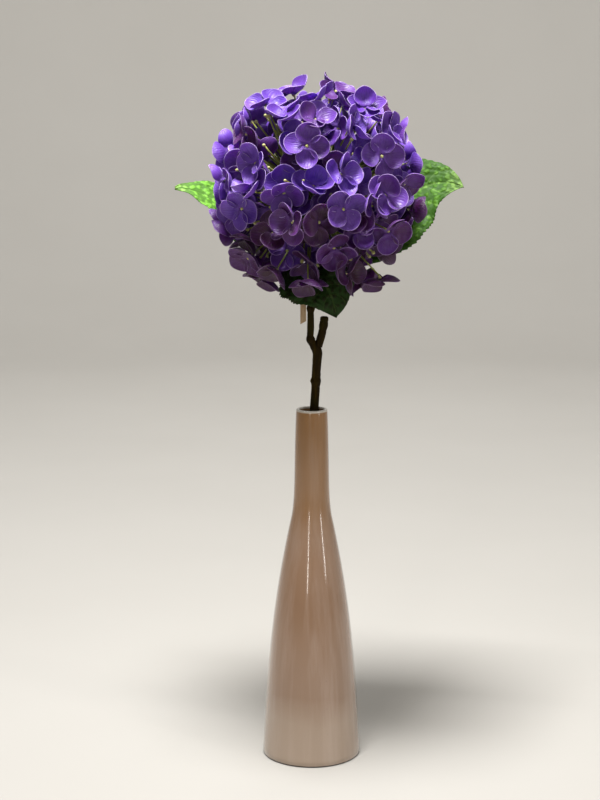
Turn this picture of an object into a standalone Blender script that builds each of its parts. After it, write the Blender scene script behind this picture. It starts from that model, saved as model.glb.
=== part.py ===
"""One artificial hydrangea bloom standing in a tall, tapered ceramic bottle vase.

Metres, +Z up. The origin is the middle of the vase's foot, and the front faces -Y.
"""

import math

import bmesh
import bpy
from mathutils import Matrix, Vector
from mathutils.bvhtree import BVHTree
from mathutils.geometry import interpolate_bezier

GAP = 0.0003  # left between pieces that touch

# Vase
VASE_HEIGHT = 0.338
VASE_RIM_RADIUS = 0.0148
VASE_NECK_LENGTH = 0.106  # from the rim down to where the neck has opened into the body
VASE_NECK_RADIUS = 0.0198  # where the neck has opened into the body
VASE_FOOT_RADIUS = 0.0471
VASE_WALL = 0.0030
VASE_FLOOR = 0.0060
FOOT_CHAMFER = 0.0012
VASE_FACETS = 40
NECK_FLARE = 0.220  # sideways for each unit down, where the neck meets the body
FOOT_FLARE = -0.055  # sideways for each unit up, at the foot
NECK_SWELL = 0.0026  # of the neck's curve halfway down, from a straight taper's handle
SHOULDER_EASE = 0.20  # shares of the neck's or body's length that its curve's handles reach
HIP_EASE = 0.40
FOOT_EASE = 0.30
CURVE_POINTS = 9

# Stem: its heights are measured up from the vase's rim
STEM_RADIUS = 0.00415
BRANCH_RADIUS = 0.0032
STUB_RADIUS = 0.00385
STEM_LEAN_SIDE = math.radians(70)  # the side of the mouth that the stem leans on
STEM_FOOT_SHIFT = 0.0215  # how far the foot of the stem stands to the left of its top
FIRST_NODE = 0.025
FORK = 0.054
BRANCH_NODE = 0.0645
LEAF_SCAR = 0.094
STUB_TOP = 0.0865
BRANCH_SHIFT = -0.0035  # sideways from the stem at the rim to the branch above the fork
NODE_SHIFT = 0.0012
FORK_SHIFT = 0.0024
STUB_SHIFT = 0.0092
STUB_ROOT_RISE = 0.004  # of the stub's root above the fork
STUB_BOW = 0.0010
NODE_SWELL = 0.0008  # how much each node stands out
NODE_HALF_LENGTH = 0.0035
FORK_HALF_LENGTH = 0.010
CUT_EDGE = 0.004  # length of the stub's narrowing top
TIP_LENGTH = 0.035  # the last of the branch, that narrows into the hub

# Bloom
BLOOM_RADIUS = 0.0845  # from the bloom's middle to the middle of a floret
BLOOM_HEIGHT = 0.209  # of the bloom's middle above the rim
BLOOM_SHIFT = 0.0018  # sideways from the stem at the rim
BLOOM_OPENING = math.radians(152)  # how far round from the top the florets reach
BLOOM_DROOP = 0.018  # how much further out the lowest florets hang
FLORETS = 52
HUB_RADIUS = 0.016
HUB_HALF_HEIGHT = 0.028
HUB_DROP = 0.014  # of the hub's middle below the bloom's middle
STALK_ROOT_RADIUS = 0.0011
STALK_RADIUS = 0.0007
STALK_ROOT_LENGTH = 0.006
BUD_RADIUS = 0.0016
BUD_HEIGHT = 0.0024

# Florets
PETAL_LENGTH = 0.0215  # from the middle of a floret to a petal's tip
PETAL_THICKNESS = 0.0008
PETAL_HALF_ANGLE = math.radians(31)  # from a petal's middle line to its broadest place
FLORET_HOLE = 0.0024
FLORET_CUPS = (0.0060, 0.0090, 0.0120)  # how far the tips stand above the middle
CUP_DIFFERENCE = 0.30  # by how much one pair of petals stands higher, and the other lower
FLORET_LEAN = math.radians(38)  # the most that a floret leans on its stalk by itself
LEAN_SPREAD = 0.6  # the share of the most lean by which the least leaning floret falls short
LOW_TURN_UP = 0.30  # how strongly the low florets turn up to face outwards
MOST_SLANT = math.radians(46)  # both together
STRAYS = (  # florets that hang clear of the dome: which way from its middle, and how much further
    ((0.53, -0.40, -0.75), 0.012),
    ((-0.08, -0.62, -0.78), 0.007),
    ((0.24, -0.60, -0.76), 0.004),
    ((-0.36, -0.58, -0.73), 0.003),
)

STAND_OUTS = (0, 4, -4, 8, -8, 12, -12, 16)  # from the even dome, in these steps:
STAND_OUT_STEP = PETAL_LENGTH / 21.5
NUDGES = tuple(math.radians(slant) for slant in (4, 8, 13, 18))  # from the even direction

# Leaves: a route runs from the branch through three places measured from the bloom's middle
LEAF_THICKNESS = 0.0010
PETIOLE_HALF_WIDTH = 0.0019
LEAF_WIDEST = 0.42  # share of the blade's length from its base to its broadest place
LEAF_STATIONS = 14
ROUTE_REACH = 0.106  # the bloom radius and petal length, together, that the routes are drawn for
LEAVES = {
    "leaf_right": {
        "root_height": 0.117,  # above the rim
        "root_side": (0.75, 0.75),
        "route": ((0.043, 0.056, -0.084), (0.084, 0.068, 0.021), (0.141, 0.054, -0.005)),
        "facing": (-0.15, -0.80, 0.50),
        "half_width": 0.044,
        "petiole": 0.20,  # share of the leaf's length
        "fold": 0.10,
    },
    "leaf_left": {
        "root_height": 0.122,
        "root_side": (-0.75, 0.75),
        "route": ((-0.049, 0.050, -0.072), (-0.084, 0.060, -0.006), (-0.134, 0.044, -0.005)),
        "facing": (0.10, -0.45, 0.90),
        "half_width": 0.032,
        "petiole": 0.20,
        "fold": 0.12,
    },
    "leaf_front": {
        "root_height": 0.127,
        "root_side": (0, -1.35),
        "route": ((-0.016, -0.022, -0.070), (0.014, -0.040, -0.080), (0.018, -0.036, -0.1190)),
        "facing": (0.20, -0.75, 0.60),
        "half_width": 0.042,
        "petiole": 0.10,
        "fold": -0.10,
    },
}

# Paper label wound round the stem, with its end hanging
LABEL_THICKNESS = 0.0005
LABEL_BAND_HEIGHT = 0.007
LABEL_BAND_BASE = 0.104  # above the rim
LABEL_WIDTH = 0.0054
LABEL_DROP = 0.025  # from the band's lower edge to the label's longer corner
LABEL_CUT = 0.003  # how much shorter the other corner is
LABEL_STAND_OFF = 0.0011  # from the stem's side to the label's near edge
LABEL_FACETS = 20

GOLDEN_ANGLE = math.pi * (3 - math.sqrt(5))
GOLDEN_RATIO = (1 + math.sqrt(5)) / 2


def clear_scene():
    for thing in list(bpy.data.objects):
        bpy.data.objects.remove(thing)


def new_collection(name):
    collection = bpy.data.collections.new(name)
    bpy.context.scene.collection.children.link(collection)
    return collection


def new_material(name, colour, roughness):
    material = bpy.data.materials.new(name)
    material.use_nodes = True
    shader = material.node_tree.nodes["Principled BSDF"]
    shader.inputs["Base Color"].default_value = (*colour, 1)
    shader.inputs["Roughness"].default_value = roughness
    shader.inputs["Metallic"].default_value = 0
    return material


def add_object(name, data, material, collection):
    thing = bpy.data.objects.new(name, data)
    collection.objects.link(thing)
    if not data.materials:
        data.materials.append(material)
    return thing


def mesh_from(name, bm):
    mesh = bpy.data.meshes.new(name)
    bm.to_mesh(mesh)
    bm.free()
    return mesh


def finished_mesh(thing):
    """The object's mesh with its modifiers applied, in the object's own axes."""
    bpy.context.view_layer.update()
    view = bpy.context.evaluated_depsgraph_get()
    return bpy.data.meshes.new_from_object(thing.evaluated_get(view))


def made_solid(thing):
    """Put the object's finished and welded mesh in place of its curve or modifiers."""
    mesh = finished_mesh(thing)
    bm = bmesh.new()
    bm.from_mesh(mesh)
    bmesh.ops.remove_doubles(bm, verts=bm.verts, dist=0.00001)
    bm.to_mesh(mesh)
    bm.free()
    solid = bpy.data.objects.new(thing.name, mesh)
    for collection in thing.users_collection:
        collection.objects.link(solid)
    solid.matrix_world = thing.matrix_world
    name = thing.name
    bpy.data.objects.remove(thing)
    solid.name = name
    return solid


def join_to(thing, helper):
    """Join a helper solid to an object with a Boolean union."""
    union = thing.modifiers.new("joined_" + helper.name, "BOOLEAN")
    union.operation = "UNION"
    union.object = helper
    helper.hide_render = True
    helper.display_type = "WIRE"


def triangles_of(mesh):
    mesh.calc_loop_triangles()
    return [tuple(triangle.vertices) for triangle in mesh.loop_triangles]


def tree_of(thing):
    """A search tree of the object's finished surface, in the world's axes."""
    mesh = finished_mesh(thing)
    vertices = [thing.matrix_world @ vertex.co for vertex in mesh.vertices]
    return BVHTree.FromPolygons(vertices, triangles_of(mesh))


# Vase


def vase_outer_points():
    """The vase's outer side from under the lip down to the foot, as (radius, height)."""
    neck_base = VASE_HEIGHT - VASE_NECK_LENGTH
    top = Vector((VASE_RIM_RADIUS, VASE_HEIGHT - VASE_WALL / 2, 0))
    joint = Vector((VASE_NECK_RADIUS, neck_base, 0))
    foot = Vector((VASE_FOOT_RADIUS, FOOT_CHAMFER, 0))
    neck_handle = top + Vector((NECK_SWELL, -VASE_NECK_LENGTH / 2, 0))
    upper_handle = joint + Vector((-NECK_FLARE, 1, 0)) * VASE_NECK_LENGTH * SHOULDER_EASE
    lower_handle = joint + Vector((NECK_FLARE, -1, 0)) * neck_base * HIP_EASE
    foot_handle = foot + Vector((FOOT_FLARE, 1, 0)) * neck_base * FOOT_EASE
    neck = interpolate_bezier(top, neck_handle, upper_handle, joint, CURVE_POINTS)
    body = interpolate_bezier(joint, lower_handle, foot_handle, foot, CURVE_POINTS)
    return [(point.x, point.y) for point in neck + body[1:]]


def vase_profile():
    """The whole section, from the inner floor's middle, over the lip, to the foot."""
    outer = vase_outer_points()
    fillet = VASE_FLOOR
    inner = [(r - VASE_WALL, h) for r, h in reversed(outer) if h > VASE_FLOOR + fillet]
    floor_radius = inner[0][0]
    floor = [(0, VASE_FLOOR), (floor_radius - fillet, VASE_FLOOR)]
    lip_middle = VASE_RIM_RADIUS - VASE_WALL / 2
    lip_base = VASE_HEIGHT - VASE_WALL / 2
    lip = []
    for turn in (135, 90, 45):
        angle = math.radians(turn)
        reach = VASE_WALL / 2
        lip.append((lip_middle + reach * math.cos(angle), lip_base + reach * math.sin(angle)))
    foot = [(VASE_FOOT_RADIUS - FOOT_CHAMFER, 0), (0, 0)]
    return floor + inner + lip + outer + foot


def add_vase(material, collection):
    bm = bmesh.new()
    corners = [bm.verts.new((radius, 0, height)) for radius, height in vase_profile()]
    for upper, lower in zip(corners, corners[1:]):
        bm.edges.new((upper, lower))
    vase = add_object("vase", mesh_from("vase", bm), material, collection)
    turn = vase.modifiers.new("turned", "SCREW")
    turn.angle = math.tau
    turn.steps = VASE_FACETS
    turn.render_steps = VASE_FACETS
    turn.use_merge_vertices = True
    turn.merge_threshold = 0.0001
    turn.use_smooth_shade = True
    return vase


# Stem


def stem_at_rim():
    """Where the stem's middle line passes the rim, leaning on the inside of the mouth."""
    reach = VASE_RIM_RADIUS - VASE_WALL - STEM_RADIUS - 2 * GAP
    side = Vector((math.cos(STEM_LEAN_SIDE), math.sin(STEM_LEAN_SIDE), 0))
    return side * reach + Vector((0, 0, VASE_HEIGHT))


def branch_at(height):
    """The branch's middle line at a height above the rim."""
    return stem_at_rim() + Vector((BRANCH_SHIFT, 0, height))


def bloom_middle():
    return stem_at_rim() + Vector((BLOOM_SHIFT, 0, BLOOM_HEIGHT))


def hub_middle():
    return bloom_middle() - Vector((0, 0, HUB_DROP))


def stem_foot():
    """The cut foot stands on the vase's floor, on the left."""
    tilt_room = STEM_RADIUS * STEM_FOOT_SHIFT / VASE_HEIGHT
    height = VASE_FLOOR + GAP + 2 * tilt_room
    return Vector((stem_at_rim().x - STEM_FOOT_SHIFT, 0, height))


def add_tube(name, points, material, collection):
    """A round tube through (point, radius) pairs, with filled ends."""
    curve = bpy.data.curves.new(name, "CURVE")
    curve.dimensions = "3D"
    curve.bevel_depth = 1
    curve.bevel_resolution = 3
    curve.use_fill_caps = True
    spline = curve.splines.new("POLY")
    spline.points.add(len(points) - 1)
    for knot, (place, radius) in zip(spline.points, points):
        knot.co = (*place, 1)
        knot.radius = radius
    return made_solid(add_object(name, curve, material, collection))


def bulge(middle, base_radius):
    """A node on the stem: three knots that swell and fall again."""
    below = Vector((0, 0, -NODE_HALF_LENGTH))
    return [
        (middle + below, base_radius),
        (middle, base_radius + NODE_SWELL),
        (middle - below, base_radius),
    ]


def add_stem(material, collection, helpers):
    rim = stem_at_rim()
    lean = (rim - stem_foot()).normalized()
    fork = rim + Vector((FORK_SHIFT, 0, FORK))
    main = [(stem_foot(), STEM_RADIUS), (rim - lean * VASE_NECK_LENGTH / 4, STEM_RADIUS)]
    main += [(rim, STEM_RADIUS)]
    main += bulge(rim + Vector((NODE_SHIFT, 0, FIRST_NODE)), STEM_RADIUS)
    main += [(fork - Vector((0, 0, FORK_HALF_LENGTH)), STEM_RADIUS), (fork, STEM_RADIUS * 1.12)]
    main += bulge(branch_at(BRANCH_NODE), BRANCH_RADIUS)
    main += bulge(branch_at(LEAF_SCAR), BRANCH_RADIUS)
    top = hub_middle() - Vector((0, 0, HUB_HALF_HEIGHT + GAP))
    main += [(top - Vector((BLOOM_SHIFT - BRANCH_SHIFT, 0, TIP_LENGTH)), BRANCH_RADIUS)]
    main += [(top, BRANCH_RADIUS * 0.9)]
    stem = add_tube("stem", main, material, collection)
    stub_top = rim + Vector((STUB_SHIFT, 0, STUB_TOP))
    stub_root = fork + Vector((NODE_SHIFT, 0, STUB_ROOT_RISE))
    stub_middle = stub_root.lerp(stub_top, 0.5) + Vector((STUB_BOW, 0, 0))
    stub = [(stub_root, STUB_RADIUS), (stub_middle, STUB_RADIUS)]
    stub += [(stub_top - Vector((0, 0, CUT_EDGE)), STUB_RADIUS * 1.08)]
    stub += [(stub_top, STUB_RADIUS * 0.75)]
    join_to(stem, add_tube("stub", stub, material, helpers))
    return stem


# Leaves


def leaf_half_width(along, petiole, half_width):
    """Half the leaf's width at a share of its length, with a pointed tip."""
    if along <= petiole:
        return PETIOLE_HALF_WIDTH
    blade = (along - petiole) / (1 - petiole)
    if blade < LEAF_WIDEST:
        rise = math.sin(blade / LEAF_WIDEST * math.pi / 2) ** 0.8
        return PETIOLE_HALF_WIDTH + (half_width - PETIOLE_HALF_WIDTH) * rise
    fall = math.cos((blade - LEAF_WIDEST) / (1 - LEAF_WIDEST) * math.pi / 2) ** 0.85
    return max(half_width * fall, PETIOLE_HALF_WIDTH * 0.3)


def add_leaf(name, shape, material, collection):
    """A blade along a curve of four points, its upper face looking along facing."""
    growth = (BLOOM_RADIUS + PETAL_LENGTH) / ROUTE_REACH
    across, back = shape["root_side"]
    stand_off = BRANCH_RADIUS + 2 * GAP
    root = branch_at(shape["root_height"]) + Vector((across, back, 0)) * stand_off
    route = [root] + [bloom_middle() + Vector(place) * growth for place in shape["route"]]
    facing = Vector(shape["facing"])
    half_width = shape["half_width"]
    spine = interpolate_bezier(*route, LEAF_STATIONS)
    bm = bmesh.new()
    rows = []
    for number, place in enumerate(spine):
        before = spine[max(number - 1, 0)]
        after = spine[min(number + 1, LEAF_STATIONS - 1)]
        forward = (after - before).normalized()
        up = (facing - forward * facing.dot(forward)).normalized()
        side = forward.cross(up)
        along = number / (LEAF_STATIONS - 1)
        reach = leaf_half_width(along, shape["petiole"], half_width)
        row = []
        for share in (-1, -0.5, 0, 0.5, 1):
            lift = shape["fold"] * half_width * (abs(share) * reach / half_width) ** 1.3
            row.append(bm.verts.new(place + side * share * reach + up * lift))
        rows.append(row)
    for near, far in zip(rows, rows[1:]):
        for left in range(len(near) - 1):
            bm.faces.new((near[left], near[left + 1], far[left + 1], far[left]))
    leaf = add_object(name, mesh_from(name, bm), material, collection)
    shell = leaf.modifiers.new("thickness", "SOLIDIFY")
    shell.thickness = LEAF_THICKNESS
    shell.offset = 0
    return leaf


# Paper label


def add_label(material, collection, helpers):
    """A band round the branch, and the end of the strip hanging to its left."""
    middle = branch_at(LABEL_BAND_BASE)
    inner = BRANCH_RADIUS + GAP
    bm = bmesh.new()
    lower = []
    for step in range(LABEL_FACETS):
        angle = math.tau * step / LABEL_FACETS
        spoke = Vector((math.cos(angle), math.sin(angle), 0)) * inner
        lower.append(bm.verts.new(middle + spoke / math.cos(math.pi / LABEL_FACETS)))
    upper = [bm.verts.new(vertex.co + Vector((0, 0, LABEL_BAND_HEIGHT))) for vertex in lower]
    for step in range(LABEL_FACETS):
        following = (step + 1) % LABEL_FACETS
        bm.faces.new((lower[step], lower[following], upper[following], upper[step]))
    label = add_object("paper_label", mesh_from("paper_label", bm), material, collection)
    shell = label.modifiers.new("thickness", "SOLIDIFY")
    shell.thickness = LABEL_THICKNESS
    shell.offset = 1
    label = made_solid(label)

    near = middle.x - BRANCH_RADIUS - LABEL_STAND_OFF
    far = near - LABEL_WIDTH
    top = middle.z + LABEL_BAND_HEIGHT * 0.95
    band_edge = middle.x - inner - LABEL_THICKNESS * 0.4
    step_height = middle.z + LABEL_BAND_HEIGHT * 0.1
    outline = [
        (far, top),
        (band_edge, top),
        (band_edge, step_height),
        (near, step_height),
        (near, middle.z - LABEL_DROP + LABEL_CUT),
        (far, middle.z - LABEL_DROP),
    ]
    curve = bpy.data.curves.new("label_end", "CURVE")
    curve.dimensions = "2D"
    curve.fill_mode = "BOTH"
    curve.extrude = LABEL_THICKNESS / 2
    spline = curve.splines.new("POLY")
    spline.points.add(len(outline) - 1)
    for knot, (across, height) in zip(spline.points, outline):
        knot.co = (across, height, 0, 1)
    spline.use_cyclic_u = True
    strip = add_object("label_end", curve, material, helpers)
    strip.matrix_world = Matrix.Translation((0, middle.y, 0)) @ Matrix.Rotation(math.pi / 2, 4, "X")
    join_to(label, made_solid(strip))
    return label


# Florets and the spray that carries them


def floret_mesh(name, cup):
    """Four cupped petals round a small square hole, pressed as one piece."""
    bm = bmesh.new()
    hole = []
    middle = []
    rim = []
    for petal in range(4):
        axis = math.pi / 2 * petal
        hole_angle = axis - math.pi / 4
        hole.append(bm.verts.new(polar_point(FLORET_HOLE, hole_angle, 0)))
        stand = cup * (1 + CUP_DIFFERENCE if petal % 2 else 1 - CUP_DIFFERENCE)
        outline = (
            (-math.pi / 4, 0.40, 0.10),
            (-PETAL_HALF_ANGLE, 0.80, 0.95),
            (0, 1.00, 0.80),
            (PETAL_HALF_ANGLE, 0.80, 0.95),
        )
        for turn, share, rise in outline:
            reach = PETAL_LENGTH * share
            height = (cup if share < 0.5 else stand) * rise
            rim.append(bm.verts.new(polar_point(reach, axis + turn, height)))
            middle.append(bm.verts.new(polar_point(reach * 0.55, axis + turn, height * 0.25)))
    count = len(rim)
    for petal in range(4):
        first = petal * 4
        near = hole[petal]
        far = hole[(petal + 1) % 4]
        tip = middle[first + 2]
        bm.faces.new((near, middle[first], middle[first + 1]))
        bm.faces.new((near, middle[first + 1], tip))
        bm.faces.new((near, tip, far))
        bm.faces.new((far, tip, middle[first + 3]))
        bm.faces.new((far, middle[first + 3], middle[(first + 4) % count]))
    for number in range(count):
        following = (number + 1) % count
        bm.faces.new((middle[number], rim[number], rim[following], middle[following]))
    pressed = bpy.data.objects.new(name, mesh_from(name, bm))
    bpy.context.scene.collection.objects.link(pressed)
    shell = pressed.modifiers.new("thickness", "SOLIDIFY")
    shell.thickness = PETAL_THICKNESS
    shell.offset = 1
    solid = finished_mesh(pressed)
    bpy.data.objects.remove(pressed)
    return solid


def polar_point(radius, angle, height):
    return Vector((radius * math.cos(angle), radius * math.sin(angle), height))


def floret_directions():
    """Evenly spread directions from the top of the bloom down to its opening."""
    span = 1 - math.cos(BLOOM_OPENING)
    for number in range(FLORETS):
        height = 1 - (number + 0.5) * span / FLORETS
        angle = GOLDEN_ANGLE * number
        ring = math.sqrt(1 - height * height)
        yield Vector((ring * math.cos(angle), ring * math.sin(angle), height))


def floret_aims():
    """Each floret's direction, and how far it strays outwards from the dome."""
    aims = [(direction, 0) for direction in floret_directions()]
    for direction, stand_out in STRAYS:
        stray = Vector(direction).normalized()
        others = [aim for aim in aims if aim[1] == 0]
        nearest = max(others, key=lambda aim: aim[0].dot(stray))
        aims[aims.index(nearest)] = (stray, stand_out)
    return aims


def nudged(direction):
    """The direction itself, then others a few degrees to each side of it."""
    yield direction
    across = direction.orthogonal().normalized()
    other = direction.cross(across)
    for slant in NUDGES:
        for turn in range(6):
            angle = math.tau * turn / 6
            aside = across * math.cos(angle) + other * math.sin(angle)
            yield (direction + aside * math.tan(slant)).normalized()


def floret_facing(number, axis, lean_side):
    """Which way a floret faces: each leans on its stalk, and the low ones turn up as well."""
    lean = FLORET_LEAN * (1 - LEAN_SPREAD * (number / GOLDEN_RATIO % 1))
    hinge = Matrix.Rotation(lean_side, 3, axis) @ axis.orthogonal()
    facing = Matrix.Rotation(lean, 3, hinge) @ axis
    facing = (facing + Vector((0, 0, max(0, -axis.z) * LOW_TURN_UP))).normalized()
    excess = axis.angle(facing) / MOST_SLANT
    return axis.slerp(facing, 1 / excess) if excess > 1 else facing


def floret_tries(number, direction, stray):
    """Tries for one floret: its direction, how far it stands out, which way it leans, its turn."""
    least = 0 if stray else min(STAND_OUTS)
    for aim in nudged(direction):
        for steps in [steps for steps in STAND_OUTS if steps >= least]:
            for third in range(3):
                lean_side = GOLDEN_ANGLE * number * 2 + math.tau * third / 3
                for turn in range(6):
                    yield aim, steps * STAND_OUT_STEP, lean_side, math.radians(15 * turn)


def stalk_prism(root, tip):
    """A three-sided prism round a stalk, with room to spare."""
    axis = (tip - root).normalized()
    across = axis.orthogonal().normalized()
    other = axis.cross(across)
    corners = []
    for end in (root, tip):
        for turn in range(3):
            angle = math.tau * turn / 3
            spoke = across * math.cos(angle) + other * math.sin(angle)
            corners.append(end + spoke * (STALK_ROOT_RADIUS + GAP))
    sides = [(0, 1, 4, 3), (1, 2, 5, 4), (2, 0, 3, 5), (3, 4, 5)]
    return corners, sides


def place_florets(meshes, hub, obstacles, material, collection):
    """Set each floret on its stalk, turned and lifted until it clears the others."""
    stalks = []
    used = set()
    middle = bloom_middle()
    for number, (direction, stray) in enumerate(floret_aims()):
        mesh = meshes[number % len(meshes)]
        faces = triangles_of(mesh)
        reach = BLOOM_RADIUS + BLOOM_DROOP * max(0, -direction.z) ** 2
        reach += stray
        root_face, root = nearest_free_face(hub, middle + direction * reach, used)
        fewest = None
        for aim, stand_out, lean_side, turn in floret_tries(number, direction, stray):
            base = middle + aim * (reach + stand_out)
            axis = (base - root).normalized()
            facing = floret_facing(number, axis, lean_side)
            pose = Matrix.Translation(base) @ facing.to_track_quat("Z", "Y").to_matrix().to_4x4()
            pose = pose @ Matrix.Rotation(turn, 4, "Z")
            vertices = [pose @ vertex.co for vertex in mesh.vertices]
            start = root + axis * STALK_ROOT_LENGTH
            corners, sides = stalk_prism(start, base + axis * (BUD_HEIGHT + PETAL_THICKNESS))
            shift = len(vertices)
            shifted = [tuple(index + shift for index in side) for side in sides]
            tree = BVHTree.FromPolygons(vertices + corners, faces + shifted)
            touches = sum(1 for other in obstacles if tree.overlap(other))
            if fewest is None or touches < fewest[0]:
                fewest = (touches, tree, pose, base, axis)
            if touches == 0:
                break
        touches, tree, pose, base, axis = fewest
        obstacles.append(tree)
        floret = add_object("floret_%02d" % (number + 1), mesh, material, collection)
        floret.matrix_world = pose
        stalks.append((root_face, root, base, axis))
    return stalks


def nearest_free_face(hub, target, used):
    """The hub's face that looks most nearly at a target and carries no stalk yet."""
    best = None
    for face in hub.faces:
        if face.index in used:
            continue
        centre = face.calc_center_median()
        towards = (target - centre).normalized()
        score = face.normal.dot(towards)
        if best is None or score > best[0]:
            best = (score, face, centre)
    used.add(best[1].index)
    return best[1], best[2].copy()


def new_hub():
    """The swollen top of the stem that the stalks grow from."""
    hub = bmesh.new()
    bmesh.ops.create_icosphere(hub, subdivisions=3, radius=1)
    size = Matrix.Diagonal((HUB_RADIUS, HUB_RADIUS, HUB_HALF_HEIGHT, 1))
    bmesh.ops.transform(hub, matrix=Matrix.Translation(hub_middle()) @ size, verts=hub.verts)
    hub.faces.ensure_lookup_table()
    hub.faces.index_update()
    hub.normal_update()
    return hub


def draw_out(hub, face, centre, axis, radius):
    """Extrude a face and set its corners round an axis."""
    face = bmesh.ops.extrude_discrete_faces(hub, faces=[face])["faces"][0]
    middle = face.calc_center_median()
    for vertex in face.verts:
        spoke = vertex.co - middle
        spoke = spoke - axis * spoke.dot(axis)
        vertex.co = centre + spoke.normalized() * radius
    return face


def grow_stalks(hub, stalks):
    """Draw a stalk out of the hub to each floret, through its hole, to a small bud."""
    neck = PETAL_THICKNESS + GAP + BUD_RADIUS * math.tan(MOST_SLANT)
    for face, root, base, axis in stalks:
        face = draw_out(hub, face, root + axis * STALK_ROOT_LENGTH, axis, STALK_ROOT_RADIUS)
        face = draw_out(hub, face, base + axis * neck, axis, STALK_RADIUS)
        face = draw_out(hub, face, base + axis * (neck + BUD_HEIGHT * 0.3), axis, BUD_RADIUS)
        draw_out(hub, face, base + axis * (neck + BUD_HEIGHT), axis, BUD_RADIUS * 0.5)


def main():
    clear_scene()
    parts = new_collection("hydrangea_in_vase")
    helpers = new_collection("helpers")

    glaze = new_material("blush_glaze", (0.42, 0.30, 0.24), 0.18)
    bark = new_material("olive_plastic", (0.07, 0.065, 0.02), 0.50)
    spray_plastic = new_material("pale_green_plastic", (0.42, 0.44, 0.12), 0.50)
    petal_cloth = new_material("violet_cloth", (0.13, 0.035, 0.32), 0.60)
    leaf_cloth = new_material("green_leaf_cloth", (0.09, 0.28, 0.03), 0.40)
    kraft_paper = new_material("kraft_paper", (0.45, 0.30, 0.15), 0.80)

    vase = add_vase(glaze, parts)
    stem = add_stem(bark, parts, helpers)
    leaves = [add_leaf(name, shape, leaf_cloth, parts) for name, shape in LEAVES.items()]
    label = add_label(kraft_paper, parts, helpers)

    meshes = [floret_mesh("floret_pressed_%d" % kind, cup) for kind, cup in enumerate(FLORET_CUPS)]
    hub = new_hub()
    obstacles = [tree_of(thing) for thing in [vase, stem, label] + leaves]
    stalks = place_florets(meshes, hub, obstacles, petal_cloth, parts)
    grow_stalks(hub, stalks)
    bmesh.ops.triangulate(hub, faces=hub.faces)
    add_object("flower_spray", mesh_from("flower_spray", hub), spray_plastic, parts)


main()
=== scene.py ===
"""Looks of one artificial hydrangea stem in a glazed bottle vase, built round its CAD frame."""

import math
import random

import bmesh
import bpy
import numpy as np
from mathutils import Matrix, Vector, noise
from mathutils.bvhtree import BVHTree
from mathutils.geometry import interpolate_bezier


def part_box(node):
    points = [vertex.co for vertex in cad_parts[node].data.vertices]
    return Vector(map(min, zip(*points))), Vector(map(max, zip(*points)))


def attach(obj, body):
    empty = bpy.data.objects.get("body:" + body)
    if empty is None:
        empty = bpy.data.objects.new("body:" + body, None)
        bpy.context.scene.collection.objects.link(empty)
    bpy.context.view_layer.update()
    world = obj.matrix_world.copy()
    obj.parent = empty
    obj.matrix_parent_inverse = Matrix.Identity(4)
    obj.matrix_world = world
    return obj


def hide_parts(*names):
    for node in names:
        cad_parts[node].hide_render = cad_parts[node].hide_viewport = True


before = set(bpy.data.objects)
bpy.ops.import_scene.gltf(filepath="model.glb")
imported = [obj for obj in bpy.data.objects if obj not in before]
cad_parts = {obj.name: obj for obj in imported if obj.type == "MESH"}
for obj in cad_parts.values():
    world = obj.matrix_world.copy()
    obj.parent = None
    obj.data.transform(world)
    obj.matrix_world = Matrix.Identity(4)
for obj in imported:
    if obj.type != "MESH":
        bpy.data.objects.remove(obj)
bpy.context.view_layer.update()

SEED = 29

# Vase, in metres
VASE_WALL = 0.0030
VASE_FLOOR = 0.0060
VASE_RIM_RADIUS = 0.0148
VASE_NECK_LENGTH = 0.106
VASE_NECK_RADIUS = 0.0198  # where the neck has opened into the body
FOOT_CHAMFER = 0.0012
NECK_FLARE = 0.220  # sideways for each unit down, where the neck meets the body
FOOT_FLARE = -0.055  # sideways for each unit up, at the foot
NECK_SWELL = 0.0026  # of the neck's curve halfway down, from a straight taper's handle
SHOULDER_EASE = 0.20  # shares of the neck's or body's length that its curve's handles reach
HIP_EASE = 0.40
FOOT_EASE = 0.30

# Stem, leaning on the inside of the mouth
STEM_RADIUS = 0.00415
BRANCH_RADIUS = 0.0032
STEM_GAP = 0.0006  # between the stem and the mouth
STEM_LEAN_WAY = math.radians(70)  # where round the mouth it leans, from +X
BRANCH_SHIFT = Vector((-0.0035, 0, 0))  # from the rim's place to the branch's line
BLOOM_MIDDLE = Vector((0.0018, 0, 0.209))  # from the rim's place
HUB_RADIUS = 0.0155
HUB_HALF_HEIGHT = 0.028
FORK_HEIGHT = 0.054  # these heights are above the rim
LOW_NODE_HEIGHT = 0.025
MIDDLE_NODE_HEIGHT = 0.0645
HIGH_NODE_HEIGHT = 0.094
NODE_SWELL = 0.00085
NODE_REACH = 0.0022
GROOVE_DEPTH = 0.00035
GROOVE_REACH = 0.0006
GROOVE_PLACES = (-0.0042, 0.0040)  # below and above a node's middle

# Cloth
CLOTH = 0.00035  # a petal's cloth
LEAF_CLOTH = 0.0006
PETAL_LENGTH = 0.0215
PETAL_WIDTH = 0.0222
PETAL_HOLE = 0.0006
PETAL_WIDEST = 0.54  # share of its length
PETAL_STEPS = 15
LEAF_VEINS = 9
LEAF_VEIN_SLANT = 0.16  # how far along the leaf a side vein runs on its way out
LEAF_WIDEST = 0.42  # share of the blade's length
LEAF_TEETH = 26
PETIOLE_RADIUS = 0.0019

# Bloom
BLOOM_OPENING = math.radians(152)
FILLER_FLORETS = 112
FILLER_TRIES = 30
MOST_TOUCHES = 14  # a filler that touches its neighbours more than this is left out
CLOSED_BUDS = 150
GOLDEN_ANGLE = math.pi * (3 - math.sqrt(5))


# Small helpers


def unique_points(node):
    """A CAD node's corners, each once, as an array."""
    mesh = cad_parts[node].data
    points = np.array([vertex.co for vertex in mesh.vertices])
    return np.unique(np.round(points, 6), axis=0)


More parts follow.
